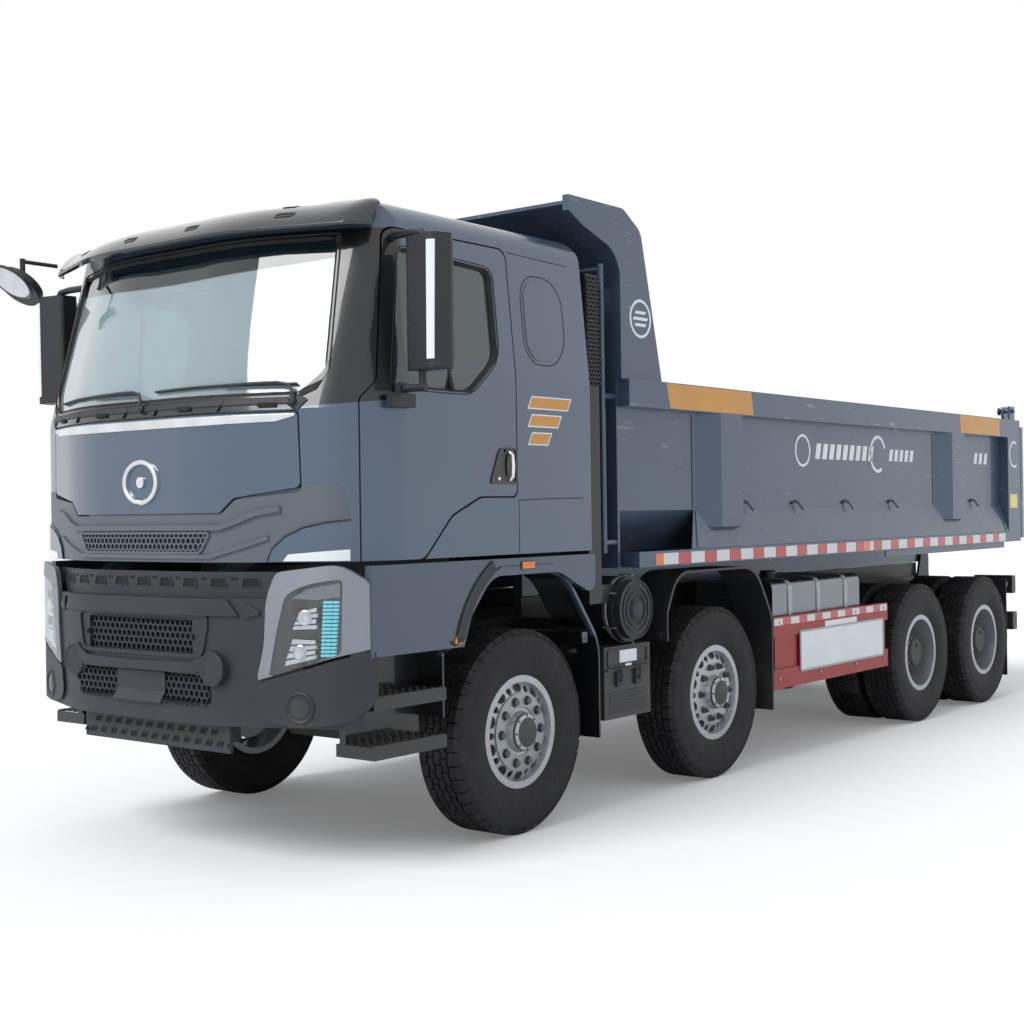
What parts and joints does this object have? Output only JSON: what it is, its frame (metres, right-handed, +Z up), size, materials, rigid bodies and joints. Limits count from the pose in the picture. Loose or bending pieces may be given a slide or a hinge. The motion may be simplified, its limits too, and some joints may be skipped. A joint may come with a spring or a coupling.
{
  "type": "dump truck",
  "caption": "Forward-control tipper lorry with tilting cab, steered twin front axles, twin-tyred rear axles, and a bent-steel bed with canopy and tailgate on a telescopic ram.",
  "frame": {"origin": "on the ground under the middle of the outline", "axes": "+Z up, the front faces -Y, the left-hand side is +X"},
  "size_m": [3.1208, 8.93, 3.44],
  "materials": {
    "bodywork": "metallic blue-grey gloss paint",
    "bed_paint": "blue-grey satin paint over welded steel",
    "dark_plastic": "dark grey grained plastic",
    "visor": "smoked gloss plastic",
    "glazing": "lightly tinted glass",
    "lamp_glass": "clear lamp cover over dark chrome",
    "wheel_silver": "silver paint",
    "tyre_rubber": "black rubber",
    "frame_paint": "black chassis paint",
    "cast_grey": "painted casting",
    "ram_chrome": "hard chrome",
    "ram_paint": "black paint",
    "guard_red": "red and white paint",
    "tank_alloy": "brushed",
    "interior": "soft dark trim",
    "seat_cloth": "woven dark cloth"
  },
  "bodies": {
    "chassis": {"chassis_frame": "frame_paint", "leaf_springs": "frame_paint", "steer_axles": "frame_paint", "drive_axles": "frame_paint", "front_bumper": "dark_plastic", "headlights": "lamp_glass", "front_fenders": "bodywork", "mudguards": "dark_plastic", "air_cleaner": "dark_plastic", "battery_box": "dark_plastic", "fuel_tank": "tank_alloy", "exhaust_silencer": "frame_paint", "side_guards": "guard_red", "rear_underrun": "frame_paint", "engine": "cast_grey"},
    "cab": {"cab_shell": "bodywork", "windscreen": "glazing", "front_mask": "dark_plastic", "sun_visor": "visor", "dashboard": "interior", "seats": "seat_cloth", "front_mirror": "dark_plastic"},
    "front_lid": {"front_lid": "bodywork"},
    "steering_wheel": {"steering_wheel": "interior"},
    "bed": {"bed_tub": "bed_paint", "bed_front": "bed_paint"},
    "tailgate": {"tailgate": "bed_paint"},
    "ram_foot": {"ram_foot": "ram_chrome"},
    "ram_stage_1": {"ram_stage_1": "ram_chrome"},
    "ram_stage_2": {"ram_stage_2": "ram_chrome"},
    "ram_stage_3": {"ram_stage_3": "ram_chrome"},
    "ram_cover": {"ram_cover": "ram_paint"},
    "door_left": {"door_left": "bodywork", "door_glass_left": "glazing", "mirror_left": "dark_plastic"},
    "knuckle_front_left": {"knuckle_front_left": "cast_grey"},
    "wheel_front_left": {"rim_front_left": "wheel_silver", "tyre_front_left": "tyre_rubber"},
    "knuckle_second_left": {"knuckle_second_left": "cast_grey"},
    "wheel_second_left": {"rim_second_left": "wheel_silver", "tyre_second_left": "tyre_rubber"},
    "wheels_third_left": {"rims_third_left": "wheel_silver", "tyres_third_left": "tyre_rubber"},
    "wheels_fourth_left": {"rims_fourth_left": "wheel_silver", "tyres_fourth_left": "tyre_rubber"},
    "door_right": {"door_right": "bodywork", "door_glass_right": "glazing", "mirror_right": "dark_plastic"},
    "knuckle_front_right": {"knuckle_front_right": "cast_grey"},
    "wheel_front_right": {"rim_front_right": "wheel_silver", "tyre_front_right": "tyre_rubber"},
    "knuckle_second_right": {"knuckle_second_right": "cast_grey"},
    "wheel_second_right": {"rim_second_right": "wheel_silver", "tyre_second_right": "tyre_rubber"},
    "wheels_third_right": {"rims_third_right": "wheel_silver", "tyres_third_right": "tyre_rubber"},
    "wheels_fourth_right": {"rims_fourth_right": "wheel_silver", "tyres_fourth_right": "tyre_rubber"},
    "track_rod_front": {"track_rod_front": "frame_paint"},
    "track_rod_second": {"track_rod_second": "frame_paint"}
  },
  "joints": [
    {"name": "knuckle_front_left_steer", "type": "hinge", "parent": "chassis", "child": "knuckle_front_left", "pos_m": [0.88, -2.885, 0.542], "axis": [0, 0, 1], "range_deg": [-38, 38]},
    {"name": "wheel_front_left_spin", "type": "hinge", "parent": "knuckle_front_left", "child": "wheel_front_left", "pos_m": [1.025, -2.885, 0.542], "axis": [1, 0, 0], "continuous": true},
    {"name": "knuckle_front_right_steer", "type": "hinge", "parent": "chassis", "child": "knuckle_front_right", "pos_m": [-0.88, -2.885, 0.542], "axis": [0, 0, 1], "range_deg": [-38, 38]},
    {"name": "wheel_front_right_spin", "type": "hinge", "parent": "knuckle_front_right", "child": "wheel_front_right", "pos_m": [-1.025, -2.885, 0.542], "axis": [1, 0, 0], "continuous": true},
    {"name": "track_rod_front_pivot", "type": "hinge", "parent": "knuckle_front_left", "child": "track_rod_front", "pos_m": [0.88, -2.725, 0.418], "axis": [0, 0, 1], "range_deg": [-38, 38]},
    {"name": "knuckle_second_left_steer", "type": "hinge", "parent": "chassis", "child": "knuckle_second_left", "pos_m": [0.88, -0.885, 0.542], "axis": [0, 0, 1], "range_deg": [-26, 26]},
    {"name": "wheel_second_left_spin", "type": "hinge", "parent": "knuckle_second_left", "child": "wheel_second_left", "pos_m": [1.025, -0.885, 0.542], "axis": [1, 0, 0], "continuous": true},
    {"name": "knuckle_second_right_steer", "type": "hinge", "parent": "chassis", "child": "knuckle_second_right", "pos_m": [-0.88, -0.885, 0.542], "axis": [0, 0, 1], "range_deg": [-26, 26]},
    {"name": "wheel_second_right_spin", "type": "hinge", "parent": "knuckle_second_right", "child": "wheel_second_right", "pos_m": [-1.025, -0.885, 0.542], "axis": [1, 0, 0], "continuous": true},
    {"name": "track_rod_second_pivot", "type": "hinge", "parent": "knuckle_second_left", "child": "track_rod_second", "pos_m": [0.88, -0.725, 0.418], "axis": [0, 0, 1], "range_deg": [-26, 26]},
    {"name": "wheels_third_left_spin", "type": "hinge", "parent": "chassis", "child": "wheels_third_left", "pos_m": [1.1, 2.165, 0.542], "axis": [1, 0, 0], "continuous": true},
    {"name": "wheels_third_right_spin", "type": "hinge", "parent": "chassis", "child": "wheels_third_right", "pos_m": [-1.1, 2.165, 0.542], "axis": [1, 0, 0], "continuous": true},
    {"name": "wheels_fourth_left_spin", "type": "hinge", "parent": "chassis", "child": "wheels_fourth_left", "pos_m": [1.1, 3.515, 0.542], "axis": [1, 0, 0], "continuous": true},
    {"name": "wheels_fourth_right_spin", "type": "hinge", "parent": "chassis", "child": "wheels_fourth_right", "pos_m": [-1.1, 3.515, 0.542], "axis": [1, 0, 0], "continuous": true},
    {"name": "steering_wheel_turn", "type": "hinge", "parent": "cab", "child": "steering_wheel", "pos_m": [0.67, -3.485, 2.135], "axis": [0, 0.4226, 0.9063], "range_deg": [-760, 760]},
    {"name": "cab_tilt", "type": "hinge", "parent": "chassis", "child": "cab", "pos_m": [0, -4.36, 1.4], "axis": [1, 0, 0], "range_deg": [0, 50]},
    {"name": "front_lid_swing", "type": "hinge", "parent": "cab", "child": "front_lid", "pos_m": [0, -4.45, 2.185], "axis": [-1, 0, 0], "range_deg": [0, 75]},
    {"name": "door_left_swing", "type": "hinge", "parent": "cab", "child": "door_left", "pos_m": [1.19, -4.092, 1.9], "axis": [0, 0, -1], "range_deg": [0, 75]},
    {"name": "door_right_swing", "type": "hinge", "parent": "cab", "child": "door_right", "pos_m": [-1.19, -4.092, 1.9], "axis": [0, 0, 1], "range_deg": [0, 75]},
    {"name": "bed_tip", "type": "hinge", "parent": "chassis", "child": "bed", "pos_m": [0, 4.115, 1.24], "axis": [-1, 0, 0], "range_deg": [0, 48]},
    {"name": "tailgate_swing", "type": "hinge", "parent": "bed", "child": "tailgate", "pos_m": [0, 4.315, 2.545], "axis": [1, 0, 0], "range_deg": [0, 70]},
    {"name": "ram_foot_pivot", "type": "hinge", "parent": "chassis", "child": "ram_foot", "pos_m": [0, -2.21228, 0.9], "axis": [-1, 0, 0], "range_deg": [0, 24]},
    {"name": "ram_slide_1", "type": "slide", "parent": "ram_foot", "child": "ram_stage_1", "axis": [0, 0, 1], "range_m": [0, 1.272]},
    {"name": "ram_slide_2", "type": "slide", "parent": "ram_stage_1", "child": "ram_stage_2", "axis": [0, 0, 1], "range_m": [0, 1.272]},
    {"name": "ram_slide_3", "type": "slide", "parent": "ram_stage_2", "child": "ram_stage_3", "axis": [0, 0, 1], "range_m": [0, 1.272]},
    {"name": "ram_slide_4", "type": "slide", "parent": "ram_stage_3", "child": "ram_cover", "axis": [0, 0, 1], "range_m": [0, 1.272]}
  ],
  "couplings": [
    {"joint": "knuckle_front_right_steer", "follows": "knuckle_front_left_steer", "ratio": 1},
    {"joint": "track_rod_front_pivot", "follows": "knuckle_front_left_steer", "ratio": -1},
    {"joint": "knuckle_second_left_steer", "follows": "knuckle_front_left_steer", "ratio": 0.68},
    {"joint": "knuckle_second_right_steer", "follows": "knuckle_front_left_steer", "ratio": 0.68},
    {"joint": "track_rod_second_pivot", "follows": "knuckle_front_left_steer", "ratio": -0.68},
    {"joint": "steering_wheel_turn", "follows": "knuckle_front_left_steer", "ratio": 20},
    {"joint": "ram_foot_pivot", "follows": "bed_tip", "ratio": 0.5},
    {"joint": "ram_slide_1", "follows": "bed_tip", "m_per_rad": 1.5171},
    {"joint": "ram_slide_2", "follows": "bed_tip", "m_per_rad": 1.5171},
    {"joint": "ram_slide_3", "follows": "bed_tip", "m_per_rad": 1.5171},
    {"joint": "ram_slide_4", "follows": "bed_tip", "m_per_rad": 1.5171}
  ]
}
